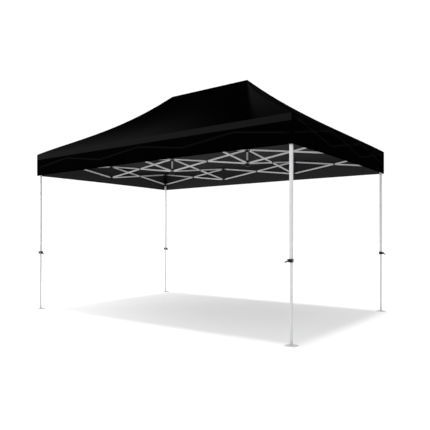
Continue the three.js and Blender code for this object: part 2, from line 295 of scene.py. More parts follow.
LEG_PAINT = powder_coat("leg_paint", (0.50, 0.505, 0.515), (0.47, 0.475, 0.485), 0.36, True)
TRUSS_PAINT = powder_coat("truss_paint", (0.60, 0.605, 0.61), (0.53, 0.535, 0.54), 0.40, False)
BLACK_PLASTIC = moulded_plastic("black_nylon", (0.0045, 0.0045, 0.0048), 0.50)
STEEL = bright_steel("zinc_steel")
CLOTH_BLACK = (0.0002, 0.0002, 0.00022)
# The paler end takes the random patches and the painted light of the tone attribute.
CLOTH_PALE = (0.0078, 0.0078, 0.0081)
LINING_DARK = (0.019, 0.019, 0.0194)
LINING_PALE = (0.027, 0.027, 0.0275)
CLOTH_OUTSIDE = woven_fabric("canopy_outside", CLOTH_BLACK, CLOTH_PALE, 0.7, 0.0, True)
CLOTH_INSIDE = woven_fabric("canopy_inside", LINING_DARK, LINING_PALE, 0.8, 0.08, False)
SEAM_TAPE = stitched_webbing("seam_tape", (0.0002, 0.0002, 0.00022), (0.0016, 0.0016, 0.0017))


# ---- mesh helpers ---------------------------------------------------------------------------------------
def add_object(name, mesh, body, slot, *materials):
    piece = bpy.data.objects.new(name, mesh)
    bpy.context.scene.collection.objects.link(piece)
    for material in materials:
        mesh.materials.append(material)
    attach(piece, body)
    return piece


def soften(piece, width, segments=2):
    bevel = piece.modifiers.new("soft_edges", "BEVEL")
    bevel.width = width
    bevel.segments = segments
    bevel.limit_method = "ANGLE"
    bevel.angle_limit = math.radians(35)
    bevel.harden_normals = True


# ---- canopy ---------------------------------------------------------------------------------------------
def roof_rise(share, x):
    """Height over the eave as a share of the peak's, at a share of the way from the ridge to the eave."""
    sag = ROOF_SAG_LEFT + (ROOF_SAG_RIGHT - ROOF_SAG_LEFT) * (x + HALF_X) / (2 * HALF_X)
    return 1 - share - sag * share * (1 - share) ** SAG_POWER


def smooth_step(low, high, value):
    """0 below low, 1 above high and a smooth turn between them."""
    part = min(1.0, max(0.0, (value - low) / (high - low)))
    return part * part * (3 - 2 * part)


def middle_ease(position):
    """0 at either end of a side, 1 at its middle."""
    return 4 * position * (1 - position)


def away_from_corners(position, rate):
    """0 at either end of a side and 1 away from it. rate: how soon it gets there."""
    return min(1.0, rate * middle_ease(position))


def ring_corners(share):
    """The four corners at a share of the way from the ridge to the eave, going round from the front left."""
    half_x = HUB_X + share * (HALF_X - HUB_X)
    half_y = share * HALF_Y
    return [Vector(c) for c in ((-half_x, -half_y), (half_x, -half_y), (half_x, half_y), (-half_x, half_y))]


def press(side, position, drop):
    """0 to 1: how far a pressed line lifts the valance. The long sides show only the lower edge of each
    crossed pair, and the short sides show both lines."""
    phase = position * ZIGZAGS % 1
    falling = PRESS_TOP + (PRESS_BOTTOM - PRESS_TOP) * phase
    rising = PRESS_TOP + PRESS_BOTTOM - falling
    lines = [max(falling, rising)] if side % 2 == 0 else [falling, rising]
    return max(math.exp(-(((drop - line) / PRESS_WIDTH) ** 2)) for line in lines)


def canopy_point(share, drop, side, position):
    """A point of the canopy's outside. share 0 to 1 runs down the roof, drop is metres down the valance."""
    corners = ring_corners(share)
    flat = corners[side].lerp(corners[(side + 1) % 4], position)
    ease = middle_ease(position)
    out = Vector(SIDE_NORMALS[side])
    lean = BAND_LEAN * away_from_corners(position, 3)
    if drop == 0:
        height = EAVE_Z + (PEAK_Z - EAVE_Z) * roof_rise(share, flat.x)
        height -= PANEL_BELLY * ease * math.sin(math.pi * share) * share
        flat -= out * lean * share**8
        return Vector((flat.x, flat.y, height))
    depth = drop / VALANCE_DROP
    flat -= out * lean * max(0.0, 1 - drop / EAVE_BAND) ** 1.5
    flat += out * PRESS_DEPTH * press(side, position, drop) * away_from_corners(position, 4)
    waves = 0
    for turns, shift, strength in HEM_RIPPLES:
        waves += strength * math.sin(position * turns + side * shift)
    flat += out * HEM_WAVE * waves * depth**2 * away_from_corners(position, 3)
    return Vector((flat.x, flat.y, EAVE_Z - drop + HEM_RISE * ease * depth**2))


def valance_painted_light(side, position, drop):
    """Painted light on the valance: the band under the eave is paler, most on the front and back, and the
    pressed lines are paler, a painted highlight along their ridges.
    """
    band = BAND_PAINTED_LIGHT[side] / (1 + math.exp((drop - EAVE_BAND) / BAND_EDGE))
    lines = PRESS_HIGHLIGHT * press(side, position, drop) * away_from_corners(position, 8)
    return min(1.0, band + lines)


def end_slope_painted_light(share, position):
    """Painted light on the end slopes: palest at the peak, and fading round from the front corner to the back
    one.
    """
    return (0.3 * share**2 + 0.75 * (1 - share) ** 0.6) * (1 - position) ** 1.3


def long_slope_painted_light(share, position):
    """Painted light on the long slopes: paler low down towards the start of the side, and on the facet beside
    the hip at its end.
    """
    eave = EAVE_PAINTED_LIGHT * share**2.4 * (1 - smooth_step(*EAVE_PAINTED_LIGHT_END, position))
    if share < NEAR_RIDGE:
        return eave
    half = HUB_X + share * (HALF_X - HUB_X)
    toward_hip = (2 * position * half - half - HUB_X) / (half - HUB_X)
    return eave + smooth_step(*HIP_PAINTED_LIGHT, toward_hip) * (0.25 + 0.6 * (1 - share) ** 0.8)


def cloth_painted_light(share, drop, side, position):
    """0 to 1: how pale painted light makes the cloth, for the attribute that its material reads."""
    if drop > 0:
        return valance_painted_light(side, position, drop)
    if side % 2:
        return end_slope_painted_light(share, position)
    return long_slope_painted_light(share, position)


def canopy_rows():
    roof = [((row / ROOF_ROWS) ** 0.9, 0.0) for row in range(ROOF_ROWS + 1)]
    valance = [(1.0, VALANCE_DROP * row / VALANCE_ROWS) for row in range(1, VALANCE_ROWS + 1)]
    return roof + valance


def distances_down(rows, side):
    """Metres down the cloth from the ridge to each row, at the middle of a side."""
    points = [canopy_point(share, drop, side, 0.5) for share, drop in rows]
    total = [0.0]
    for upper, lower in zip(points, points[1:]):
        total.append(total[-1] + (lower - upper).length)
    return total


def make_canopy():
    """One sheet from the ridge to the hem. Its UVs are metres, along each side and down the cloth."""
    mesh = bpy.data.meshes.new("canopy_sheet")
    work = bmesh.new()
    uv_layer = work.loops.layers.uv.new("metres")
    painted_light_layer = work.verts.layers.float.new("tone")
    rows = canopy_rows()
    places = [(side, step / columns) for side, columns in enumerate(SIDE_COLUMNS) for step in range(columns)]
    grid = []
    for share, drop in rows:
        ring = [work.verts.new(canopy_point(share, drop, *place)) for place in places]
        for vertex, place in zip(ring, places):
            # painted light, stored on each vertex
            vertex[painted_light_layer] = cloth_painted_light(share, drop, *place)
        grid.append(ring)
    down = [distances_down(rows, side) for side in range(4)]
    for row in range(len(rows) - 1):
        for column, (side, _) in enumerate(places):
            after = (column + 1) % len(places)
            corners = [(row, column), (row + 1, column), (row + 1, after), (row, after)]
            face = work.faces.new([grid[r][c] for r, c in corners])
            face.smooth = True
            for loop, (r, _) in zip(face.loops, corners):
                loop[uv_layer].uv = (loop.vert.co[side % 2], down[side][r])
    bmesh.ops.remove_doubles(work, verts=grid[0], dist=1e-5)
    bmesh.ops.dissolve_degenerate(work, dist=1e-6, edges=work.edges)
    bmesh.ops.recalc_face_normals(work, faces=work.faces)
    sharp_corners(work)
    work.to_mesh(mesh)
    work.free()
    piece = add_object("canopy_sheet", mesh, ROOT_BODY, "canopy_fabric", CLOTH_OUTSIDE, CLOTH_INSIDE)
    thick = piece.modifiers.new("cloth_thickness", "SOLIDIFY")
    thick.thickness = CLOTH_THICKNESS
    thick.offset = -1
    thick.material_offset = 1
    thick.material_offset_rim = 0
    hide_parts("canopy")
    return piece


def sharp_corners(work):
    """Marks the folds at the eave, hips and valance corners, so that each panel is shaded on its own."""
    for edge in work.edges:
        if len(edge.link_faces) == 2 and edge.calc_face_angle(0) > math.radians(12):
            edge.smooth = False


SMALL_STEP = 0.004


def panel_direction(share, drop, side, position):
    """Along the side, and the cloth's outside direction, from short steps over one panel."""
    before = canopy_point(share, drop, side, max(position - SMALL_STEP, 0))
    after = canopy_point(share, drop, side, min(position + SMALL_STEP, 1))
    along = after - before
    if drop > 0:
        down = -UP
    else:
        middle = min(max(share, SMALL_STEP), 1 - SMALL_STEP)
        upper = canopy_point(middle - SMALL_STEP / 2, 0, side, position)
        down = canopy_point(middle + SMALL_STEP / 2, 0, side, position) - upper
    return along.normalized(), along.cross(down).normalized() * -1


SEAM_WIDTH = 0.020
SEAM_LIFT = 0.0012
HEM_WIDTH = 0.024
HEM_EDGE = 0.001  # cloth left below the binding
BAND_STITCHING_WIDTH = 0.010
TAPE_PROFILE = ((-1, -0.15), (-0.93, 1), (0, 1), (0.93, 1), (1, -0.15), (0, -0.15))  # half widths and lifts
HIP_RUN = (0.012, 0.994)  # from just under the peak to just above the eave, as shares of the slope
CORNER_GAPS = (0.012, 0.004)  # metres left free at the valance corner's top and bottom
LEVEL_RUN = (0.003, 0.997)
HIP_STEPS = 60
CORNER_STEPS = 12
RIDGE_STEPS = 40


def stops(first, last, count):
    """count + 1 even places from first to last."""
    return [first + (last - first) * index / count for index in range(count + 1)]


def make_tape(name, points, wings, width, lift):
    """A tape laid on the cloth along points. wings: at each point, where its two edges lie, and up."""
    mesh = bpy.data.meshes.new(name)
    work = bmesh.new()
    uv_layer = work.loops.layers.uv.new("metres")
    rings, runs = [], [0.0]
    for point, (left, right, up) in zip(points, wings):
        ring = []
        for reach, height in TAPE_PROFILE:
            wing = left if reach < 0 else right
            ring.append(work.verts.new(point + wing * abs(reach) * width / 2 + up * lift * height))
        rings.append(ring)
    for first, second in zip(points, points[1:]):
        runs.append(runs[-1] + (second - first).length)
    for index in range(len(rings) - 1):
        for step in range(len(TAPE_PROFILE)):
            after = (step + 1) % len(TAPE_PROFILE)
            corners = [(index, step), (index, after), (index + 1, after), (index + 1, step)]
            face = work.faces.new([rings[i][s] for i, s in corners])
            for loop, (i, s) in zip(face.loops, corners):
                loop[uv_layer].uv = (runs[i], TAPE_PROFILE[s][0] * width / 2)
    work.faces.new(rings[0][::-1])
    work.faces.new(rings[-1])
    bmesh.ops.recalc_face_normals(work, faces=work.faces)
    work.to_mesh(mesh)
    work.free()
    return add_object(name, mesh, ROOT_BODY, "canopy_fabric", SEAM_TAPE)


def across(run, up, toward):
    """The direction in the panel square to the seam's run, on the side of `toward`."""
    wing = run.cross(up).normalized()
    return wing if wing.dot(toward) > 0 else -wing


def make_hip_seam(side):
    """From the peak down the hip between one side and the side before it, and down the valance corner."""
    top_gap, bottom_gap = CORNER_GAPS
    roof = [(share, 0.0) for share in stops(*HIP_RUN, HIP_STEPS)]
    valance = [(1.0, drop) for drop in stops(top_gap, VALANCE_DROP - bottom_gap, CORNER_STEPS)]
    made = []
    for label, route in (("hip", roof), ("corner", valance)):
        points = [canopy_point(share, drop, side, 0.0) for share, drop in route]
        wings = []
        for index, (share, drop) in enumerate(route):
            before, after = points[max(index - 1, 0)], points[min(index + 1, len(points) - 1)]
            run = (after - before).normalized()
            along, up = panel_direction(share, drop, side, 0.0)
            back_along, back_up = panel_direction(share, drop, (side - 1) % 4, 1.0)
            middle_up = (up + back_up).normalized()
            wings.append((across(run, up, along), across(run, back_up, -back_along), middle_up))
        made.append(make_tape(f"{label}_seam_{side + 1}", points, wings, SEAM_WIDTH, SEAM_LIFT))
    return made


def make_level_tape(name, side, drop, width):
    """A tape along one side at one height of the valance."""
    places = stops(*LEVEL_RUN, SIDE_COLUMNS[side])
    points = [canopy_point(1.0, drop, side, place) for place in places]
    wings = [(UP, -UP, panel_direction(1.0, drop, side, place)[1]) for place in places]
    return make_tape(name, points, wings, width, SEAM_LIFT)


def make_seams():
    """Seams down the hips and corners and along the ridge, the band's lower edge, and the bound hem."""
    made = []
    hem_drop = VALANCE_DROP - HEM_WIDTH / 2 - HEM_EDGE
    for side in range(4):
        made += make_hip_seam(side)
        made.append(make_level_tape(f"hem_binding_{side + 1}", side, hem_drop, HEM_WIDTH))
        made.append(make_level_tape(f"band_stitching_{side + 1}", side, EAVE_BAND, BAND_STITCHING_WIDTH))
    ridge = [Vector((x, 0, PEAK_Z)) for x in stops(-HUB_X, HUB_X, RIDGE_STEPS)]
    slope = canopy_point(0.02, 0, 0, 0.5) - canopy_point(0.001, 0, 0, 0.5)
    front = Vector((0, slope.y, slope.z)).normalized()
    back = Vector((0, -front.y, front.z))
    wings = [(front, back, UP)] * len(ridge)
    made.append(make_tape("ridge_seam", ridge, wings, SEAM_WIDTH, SEAM_LIFT))
    return made


# ---- small fittings -------------------------------------------------------------------------------------
# Profiles are (radius, height) points from the middle of a turned solid's top down to its base.
RIVET_PROFILE = ((0.0, 0.0032), (0.0025, 0.0030), (0.0048, 0.0022), (0.0062, 0.0010), (0.0066, 0.0))
WASHER_PROFILE = ((0.0, 0.0010), (0.0092, 0.0010), (0.0098, 0.0004), (0.0098, 0.0))
WASHER_FACE = 0.0010
BOLT_SIDES = 6


def turned(work, profile, place, axis, sides=16):
    """A lathe solid, closed at its base."""
    turn = UP.rotation_difference(Vector(axis)).to_matrix()
    rings = []
    for radius, height in profile:
        if radius == 0:
            rings.append([work.verts.new(Vector(place) + turn @ Vector((0, 0, height)))])
            continue
        ring = []
        for step in range(sides):
            angle = 2 * math.pi * step / sides
            point = Vector((radius * math.cos(angle), radius * math.sin(angle), height))
            ring.append(work.verts.new(Vector(place) + turn @ point))
        rings.append(ring)
    for upper, lower in zip(rings, rings[1:]):
        for step in range(sides):
            after = (step + 1) % sides
            if len(upper) == 1:
                work.faces.new((upper[0], lower[step], lower[after]))
            elif len(lower) == 1:
                work.faces.new((upper[step], lower[0], upper[after]))
            else:
                work.faces.new((upper[step], lower[step], lower[after], upper[after]))
    for ring, is_top in ((rings[0], True), (rings[-1], False)):
        if len(ring) > 1:
            work.faces.new(ring if is_top else ring[::-1])


def slab(work, outline, low, high, place, along, up):
    """A plate: outline is (along, up) points, and low to high its depth along the third direction."""
    along, up = Vector(along), Vector(up)
    third = along.cross(up)
    layers = []
    for depth in (low, high):
        points = [Vector(place) + along * a + up * b + third * depth for a, b in outline]
        layers.append([work.verts.new(point) for point in points])
    count = len(outline)
    for step in range(count):
        after = (step + 1) % count
        work.faces.new((layers[0][step], layers[0][after], layers[1][after], layers[1][step]))
    work.faces.new(layers[0][::-1])
    work.faces.new(layers[1])


def finish_mesh(name, work, body, slot, material, bevel=0.0):
    bmesh.ops.recalc_face_normals(work, faces=work.faces)
    mesh = bpy.data.meshes.new(name)
    work.to_mesh(mesh)
    work.free()
    mesh.polygons.foreach_set("use_smooth", [True] * len(mesh.polygons))
    mesh.set_sharp_from_angle(angle=math.radians(38))
    piece = add_object(name, mesh, body, slot, material)
    if bevel:
        soften(piece, bevel)
    return piece


def rivet(work, place, axis):
    turned(work, WASHER_PROFILE, place, axis)
    turned(work, RIVET_PROFILE, Vector(place) + Vector(axis) * WASHER_FACE, axis)


# ---- the scissor pairs: where their pins are -------------------------------------------------------------
COLUMNS = {"left_end": -LEG_X, "left_hub": -HUB_X, "right_hub": HUB_X, "right_end": LEG_X}
ROWS = {"front": -LEG_Y, "middle": 0.0, "back": LEG_Y}


def bar_ends(node):
    """Start pin, end pin, direction and the bar's side of the truss plane, from its name."""
    words = node.split("_")
    slope = words[-1]
    if words[1] in ROWS:
        row, part = words[1], words[2]
        start = {"left": -HUB_X - HUB_ARM - SPAN, "centre": -HUB_X + HUB_ARM, "right": HUB_X + HUB_ARM}[part]
        origin = Vector((start, ROWS[row], 0))
        along = Vector((1, 0, 0))
        plus = Vector((0, 1, 0))
    else:
        column, part = "_".join(words[1:3]), words[3]
        start = {"front": -HUB_ARM - SPAN, "back": HUB_ARM}[part]
        origin = Vector((COLUMNS[column], start, 0))
        along = Vector((0, 1, 0))
        plus = Vector((1, 0, 0))
    falls = slope == "fall"
    first = origin + Vector((0, 0, UPPER_PIN_Z if falls else LOWER_PIN_Z))
    last = origin + along * SPAN + Vector((0, 0, LOWER_PIN_Z if falls else UPPER_PIN_Z))
    return first, last, along, plus if falls else -plus


BAR_FACE = TRUSS_GAP + BAR_THICKNESS
TONGUE_THICKNESS = 0.012
TONGUE_OVERLAP = 0.0004  # past the truss plane, towards the bar
TONGUE_FACE = TONGUE_THICKNESS - TONGUE_OVERLAP
BOOT_WALL = 0.0013
BOOT_RADIUS = BAR_HEIGHT / 2 + BOOT_WALL
BOOT_LENGTH = 0.014  # from the pin towards the bar's middle
BOOT_CORNER = 0.004
BOOT_TAPER = 0.8
BOOT_LIP = 0.0004  # how far the cap reaches past the bar's inner face
BOOT_EDGE = 0.0005
COVER_PROFILE = ((0.0, 0.0046), (0.0125, 0.0044), (0.0155, 0.0036), (0.0168, 0.0022), (0.0170, 0.0))
COVER_FACE = 0.0042
SPACER_RADIUS = 0.0105
SPACER_RIM = 0.0004
SPACER_PLAY = 0.0001  # between the spacer and each bar


def add_boot(work, pin, along, side):
    """The moulded end cap on a bar: it wraps the bar's rounded end, its edges and both faces."""
    up = side.cross(along)
    outline = [
        (-BOOT_RADIUS * math.sin(math.radians(a)), -BOOT_RADIUS * math.cos(math.radians(a)))
        for a in range(180, -1, -20)
    ]
    outline += [(BOOT_LENGTH - BOOT_CORNER, -BOOT_RADIUS), (BOOT_LENGTH, -BOOT_RADIUS * BOOT_TAPER)]
    outline += [(BOOT_LENGTH, BOOT_RADIUS * BOOT_TAPER), (BOOT_LENGTH - BOOT_CORNER, BOOT_RADIUS)]
    third = along.cross(up)
    depth = (TRUSS_GAP - BOOT_LIP, BAR_FACE + BOOT_WALL)
    low, high = depth if third.dot(side) > 0 else (-depth[1], -depth[0])
    slab(work, outline, low, high, pin, along, up)


def add_crossing(caps, rivets, middle, side):
    """Where two bars cross: the spacer between them, and a round cover with a rivet on each outer face."""
    thick = 2 * (TRUSS_GAP - SPACER_PLAY)
    inner = SPACER_RADIUS - SPACER_RIM
    spacer = ((inner, thick), (SPACER_RADIUS, thick - SPACER_RIM), (SPACER_RADIUS, SPACER_RIM), (inner, 0.0))
    turned(caps, spacer, middle - side * (TRUSS_GAP - SPACER_PLAY), side, 20)
    for out in (side, -side):
        turned(caps, COVER_PROFILE, middle + out * BAR_FACE, out, 24)
        turned(rivets, RIVET_PROFILE, middle + out * (BAR_FACE + COVER_FACE), out)


def make_bar_fittings(node):
    """End caps and rivets at both ends of a bar. A falling bar carries its crossing's fittings too."""
    first, last, _, side = bar_ends(node)
    run = (last - first).normalized()
    caps, rivets = bmesh.new(), bmesh.new()
    for pin, along in ((first, run), (last, -run)):
        add_boot(caps, pin, along, side)
        rivet(rivets, pin + side * (BAR_FACE + BOOT_WALL), side)
        rivet(rivets, pin - side * TONGUE_FACE, -side)
    if node.endswith("fall"):
        add_crossing(caps, rivets, (first + last) / 2, side)
    bar = node.removeprefix("bar_")
    finish_mesh(f"end_caps_{bar}", caps, node, "black_plastic", BLACK_PLASTIC, BOOT_EDGE)
    finish_mesh(f"rivets_{bar}", rivets, node, "truss_metal", STEEL)


# ---- the hubs that the CAD model leaves out ---------------------------------------------------------------
CORE = 0.016  # half the width of a hub's squared boss
CORE_BEVEL = 0.004
CORE_TALL = 0.046
CORE_TOP = {"upper": 0.016, "lower": 0.023}

# Out of and across each of the four faces of a squared fitting.
FACES = [(Vector((x, y, 0)), Vector((-y, x, 0))) for x, y in ((1, 0), (0, 1), (-1, 0), (0, -1))]
TONGUE_RADIUS = 0.012
HUB_EDGE = 0.0010


def square_outline(half, corner):
    inner = half - corner
    return [
        (-inner, -half),
        (inner, -half),
        (half, -inner),
        (half, inner),
        (inner, half),
        (-inner, half),
        (-half, inner),
        (-half, -inner),
    ]


def add_tongue(work, centre, heading, arm, level):
    """The same tongue as on the CAD hubs: it lies on the side of the truss plane that its bar leaves free."""
    outline = [(0, -TONGUE_RADIUS)]
    outline += [
        (arm + TONGUE_RADIUS * math.cos(math.radians(a)), TONGUE_RADIUS * math.sin(math.radians(a)))
        for a in range(-90, 91, 15)
    ]
    outline.append((0, TONGUE_RADIUS))
    forward = heading.x + heading.y > 0
    bar_side = 1 if forward == (level == "upper") else -1
    plus = Vector((0, 1, 0)) if abs(heading.x) > 0.5 else Vector((1, 0, 0))
    shift = -bar_side * (TONGUE_THICKNESS / 2 - TONGUE_OVERLAP)
    place = centre + plus * shift
    slab(work, outline, -TONGUE_THICKNESS / 2, TONGUE_THICKNESS / 2, place, heading, UP)


def make_hub(name, body, centre, level, arms):
    """A squared boss with its tongues, and a round knob under a lower hub. arms: (heading, arm length)."""
    work = bmesh.new()
    top = CORE_TOP[level]
    slab(work, square_outline(CORE, CORE_BEVEL), top - CORE_TALL, top, centre, (1, 0, 0), (0, 1, 0))
    for heading, arm in arms:
        add_tongue(work, centre, Vector(heading), arm, level)
    if level == "lower":
        turned(work, HUB_KNOB, centre - UP * (CORE_TALL - top), -UP, 24)
    finish_mesh(name, work, body, "black_plastic", BLACK_PLASTIC, HUB_EDGE)


RIB_HALF_WIDTH = 0.0016
RIB_PROUD = 0.0014
RIB_INSET = 0.0005  # how far the ribs sink into the face
RIB_EDGE = 0.0004
RIB_PLACE = 0.55  # from the middle of the face, as a share of half its width


def add_ribs(name, body, centre, half, low, high):
    """Raised vertical ribs, two on each of the four faces of a squared fitting."""
    work = bmesh.new()
    outline = [(-RIB_HALF_WIDTH, low), (RIB_HALF_WIDTH, low), (RIB_HALF_WIDTH, high), (-RIB_HALF_WIDTH, high)]
    for out, side in FACES:
        for offset in (-RIB_PLACE, RIB_PLACE):
            place = centre + out * (half - RIB_INSET) + side * offset * half
            slab(work, outline, -RIB_PROUD, 0.0, place, -side, UP)
    finish_mesh(name, work, body, "black_plastic", BLACK_PLASTIC, RIB_EDGE)


POLE_RIB_END = 0.016
POLE_COLLAR = ((0.0122, 0.018), (0.0150, 0.0168), (0.0165, 0.013), (0.0165, 0.004), (0.0180, 0.0))
POLE_KNOB = ((0.0, 0.028), (0.020, 0.027), (0.030, 0.022), (0.036, 0.012), (0.036, 0.005), (0.028, 0.0))
HUB_KNOB = ((0.0, 0.009), (0.009, 0.0085), (0.0145, 0.0060), (0.0155, 0.0030), (0.0150, 0.0))


def make_pole_fittings(side):
    """A socket above the lower centre hub, and the round knob under it."""
    node = f"peak_pole_{side}"
    centre = Vector((SIDES[side] * HUB_X, 0, LOWER_PIN_Z))
    work = bmesh.new()
    turned(work, POLE_COLLAR, centre + UP * CORE_TOP["lower"], UP, 28)
    turned(work, POLE_KNOB, centre - UP * (CORE_TALL - CORE_TOP["lower"]), -UP, 28)
    finish_mesh(f"pole_socket_{side}", work, node, "black_plastic", BLACK_PLASTIC)
    add_ribs(f"pole_hub_ribs_{side}", node, centre, CORE, -POLE_RIB_END, POLE_RIB_END)


SIDE_HUBS = {
    "hub_lower_front_left": ("bar_left_hub_front_rise", (-HUB_X, -LEG_Y), "lower"),
    "hub_lower_front_right": ("bar_right_hub_front_rise", (HUB_X, -LEG_Y), "lower"),
    "hub_lower_back_left": ("bar_left_hub_back_fall", (-HUB_X, LEG_Y), "lower"),
    "hub_lower_back_right": ("bar_right_hub_back_fall", (HUB_X, LEG_Y), "lower"),
    "hub_upper_left_end": ("bar_middle_left_fall", (-LEG_X, 0), "upper"),
    "hub_lower_left_end": ("bar_middle_left_rise", (-LEG_X, 0), "lower"),
    "hub_upper_right_end": ("bar_middle_right_rise", (LEG_X, 0), "upper"),
    "hub_lower_right_end": ("bar_middle_right_fall", (LEG_X, 0), "lower"),
}


def make_side_hubs():
    for name, (body, (x, y), level) in SIDE_HUBS.items():
        centre = Vector((x, y, UPPER_PIN_Z if level == "upper" else LOWER_PIN_Z))
        if y:
            inward = (0, -1 if y > 0 else 1, 0)
            arms = [((1, 0, 0), HUB_ARM), ((-1, 0, 0), HUB_ARM), (inward, CORNER_ARM)]
        else:
            inward = (-1 if x > 0 else 1, 0, 0)
            arms = [((0, 1, 0), HUB_ARM), ((0, -1, 0), HUB_ARM), (inward, CORNER_ARM)]
        make_hub(name, body, centre, level, arms)


# ---- legs: clamps, sliders, feet --------------------------------------------------------------------------
OUTER_HALF = 0.016
INNER_HALF = 0.013
CLAMP_HALF = 0.023
SLIDER_HALF = 0.031
SLIDER_TOP = 0.0375  # above the lower pins
FITTING_BOTTOM = 0.0405  # of the corner fitting, below the upper pins
FOOT_TOP = 0.006
BOLT_PROFILE = ((0.0, 0.0036), (0.0040, 0.0036), (0.0046, 0.0030), (0.0046, 0.0))
CLAMP_RIVETS = (-0.009, 0.009)  # heights from the clamp's middle
CLAMP_BANDS = (-0.0165, 0.0125)
CLAMP_BAND_TALL = 0.004
CLAMP_BAND_PROUD = 0.0026
CLAMP_BAND_INSET = 0.001
CLAMP_BAND_EDGE = 0.0006
CLAMP_RIB_END = 0.0125
SLIDER_BUTTON = (
    (0.0, 0.0026),
    (0.0062, 0.0026),
    (0.0072, 0.0018),
    (0.0078, 0.0012),
    (0.0105, 0.0010),
    (0.0110, 0.0),
)
BUTTON_RISE = 0.006
SLIDER_RIB_END = 0.028
SLEEVE_GAP = 0.0002
SLEEVE_OUTSIDE = 0.0012
SLEEVE_EDGE = 0.0003
RING_CORNER = 0.003
WELD_INSET = 0.002  # from the tube's corners


def make_clamp(corner, axis):
    """The leg clamp's rivets, bands, guards, grip and ribs, round the housing and the lever."""
    outer = f"outer_leg_{corner}"
    middle = axis + UP * CLAMP_Z
    pivot = Vector(JOINTS[f"clamp_{corner}"]["pos_m"])
    out = Vector((math.copysign(1, pivot.x - axis.x), 0, 0))
    rivets, bands = bmesh.new(), bmesh.new()
    for height in CLAMP_RIVETS:
        rivet(rivets, middle - out * CLAMP_HALF + UP * height, -out)
    finish_mesh(f"clamp_rivets_{corner}", rivets, outer, "leg_metal", STEEL)
    for height in CLAMP_BANDS:
        low = CLAMP_Z + height
        outside, inside = CLAMP_HALF + CLAMP_BAND_PROUD, CLAMP_HALF - CLAMP_BAND_INSET
        ring_solid(bands, axis, outside, inside, low, low + CLAMP_BAND_TALL)
    finish_mesh(f"clamp_bands_{corner}", bands, outer, "black_plastic", BLACK_PLASTIC, CLAMP_BAND_EDGE)
    make_clamp_cheeks(corner, pivot, out)
    make_lever_grip(corner, pivot, out)
    add_ribs(f"clamp_ribs_{corner}", outer, middle, CLAMP_HALF, -CLAMP_RIB_END, CLAMP_RIB_END)


def make_slider_fittings(corner, axis, out):
    """The release button on the slider's outer face, and its ribs."""
    slider = f"slider_{corner}"
    middle = axis + UP * LOWER_PIN_Z
    work = bmesh.new()
    turned(work, SLIDER_BUTTON, middle + out * SLIDER_HALF + UP * BUTTON_RISE, out, 20)
    finish_mesh(f"slider_button_{corner}", work, slider, "black_plastic", BLACK_PLASTIC)
    add_ribs(f"slider_ribs_{corner}", slider, middle, SLIDER_HALF, -SLIDER_RIB_END, SLIDER_RIB_END)


def make_shade_sleeve(corner, axis):
    """The black sleeve on the outer leg between the slider and the corner fitting: painted shade, a dark
    sleeve where the leg's top lies in the shade under the canopy.
    """
    work = bmesh.new()
    low, high = LOWER_PIN_Z + SLIDER_TOP, UPPER_PIN_Z - FITTING_BOTTOM
    ring_solid(work, axis, OUTER_HALF + SLEEVE_OUTSIDE, OUTER_HALF + SLEEVE_GAP, low, high)
    outer = f"outer_leg_{corner}"
    finish_mesh(f"shade_sleeve_{corner}", work, outer, "black_plastic", BLACK_PLASTIC, SLEEVE_EDGE)


def make_foot_weld(corner, axis):
    work = bmesh.new()
    for out, along in FACES:
        weld_bead(work, axis + out * INNER_HALF + UP * FOOT_TOP, along, out, INNER_HALF - WELD_INSET)
    finish_mesh(f"foot_weld_{corner}", work, f"inner_leg_{corner}", "leg_metal", LEG_PAINT)


def make_leg_fittings(corner):
    end, side = corner.split("_")
    axis = Vector((SIDES[side] * LEG_X, ENDS[end] * LEG_Y, 0))
    make_clamp(corner, axis)
    make_slider_fittings(corner, axis, Vector((0, ENDS[end], 0)))
    make_shade_sleeve(corner, axis)
    make_foot_weld(corner, axis)


CHEEK_OUTLINE = (
    (-0.0085, -0.0165),
    (0.0010, -0.0165),
    (0.0075, -0.0120),
    (0.0095, -0.0040),
    (0.0095, 0.0060),
    (0.0060, 0.0140),
    (-0.0010, 0.0165),
    (-0.0085, 0.0165),
)
CHEEK_NEAR = 0.0156
CHEEK_FAR = 0.0190
CHEEK_EDGE = 0.0010


def make_clamp_cheeks(corner, pivot, out):
    """The two rounded guards outside the ears of the lever's pivot, with the pivot bolt's heads on them."""
    plates, bolts = bmesh.new(), bmesh.new()
    for turn in (-1, 1):
        side = Vector((0, turn, 0))
        third = out.cross(UP)
        low, high = (CHEEK_NEAR, CHEEK_FAR) if third.dot(side) > 0 else (-CHEEK_FAR, -CHEEK_NEAR)
        slab(plates, CHEEK_OUTLINE, low, high, pivot, out, UP)
        turned(bolts, BOLT_PROFILE, pivot + side * CHEEK_FAR, side, BOLT_SIDES)
    outer = f"outer_leg_{corner}"
    finish_mesh(f"clamp_cheeks_{corner}", plates, outer, "black_plastic", BLACK_PLASTIC, CHEEK_EDGE)
    finish_mesh(f"pivot_bolt_{corner}", bolts, outer, "leg_metal", STEEL)


GRIP_SLOPE = math.atan2(0.020, 0.040)
GRIP_UNDERSIDE = ((0.012, -0.0065), (0.020, -0.0078), (0.040, -0.0060), (0.0465, -0.0015), (0.0470, 0.0025))
GRIP_TOP = ((0.0440, 0.0055), (0.026, 0.0062), (0.013, 0.0050))
GRIP_HALF_WIDTH = 0.0125
GRIP_EDGE = 0.0008
RIDGE_OUTLINE = ((-0.0009, 0.0), (0.0009, 0.0), (0.0006, 0.0018), (-0.0006, 0.0018))
RIDGE_HALF_WIDTH = 0.009
RIDGE_PLACES = (0.020, 0.025, 0.030, 0.035, 0.040)  # from the pivot, along the grip
RIDGE_FOOT = 0.0054


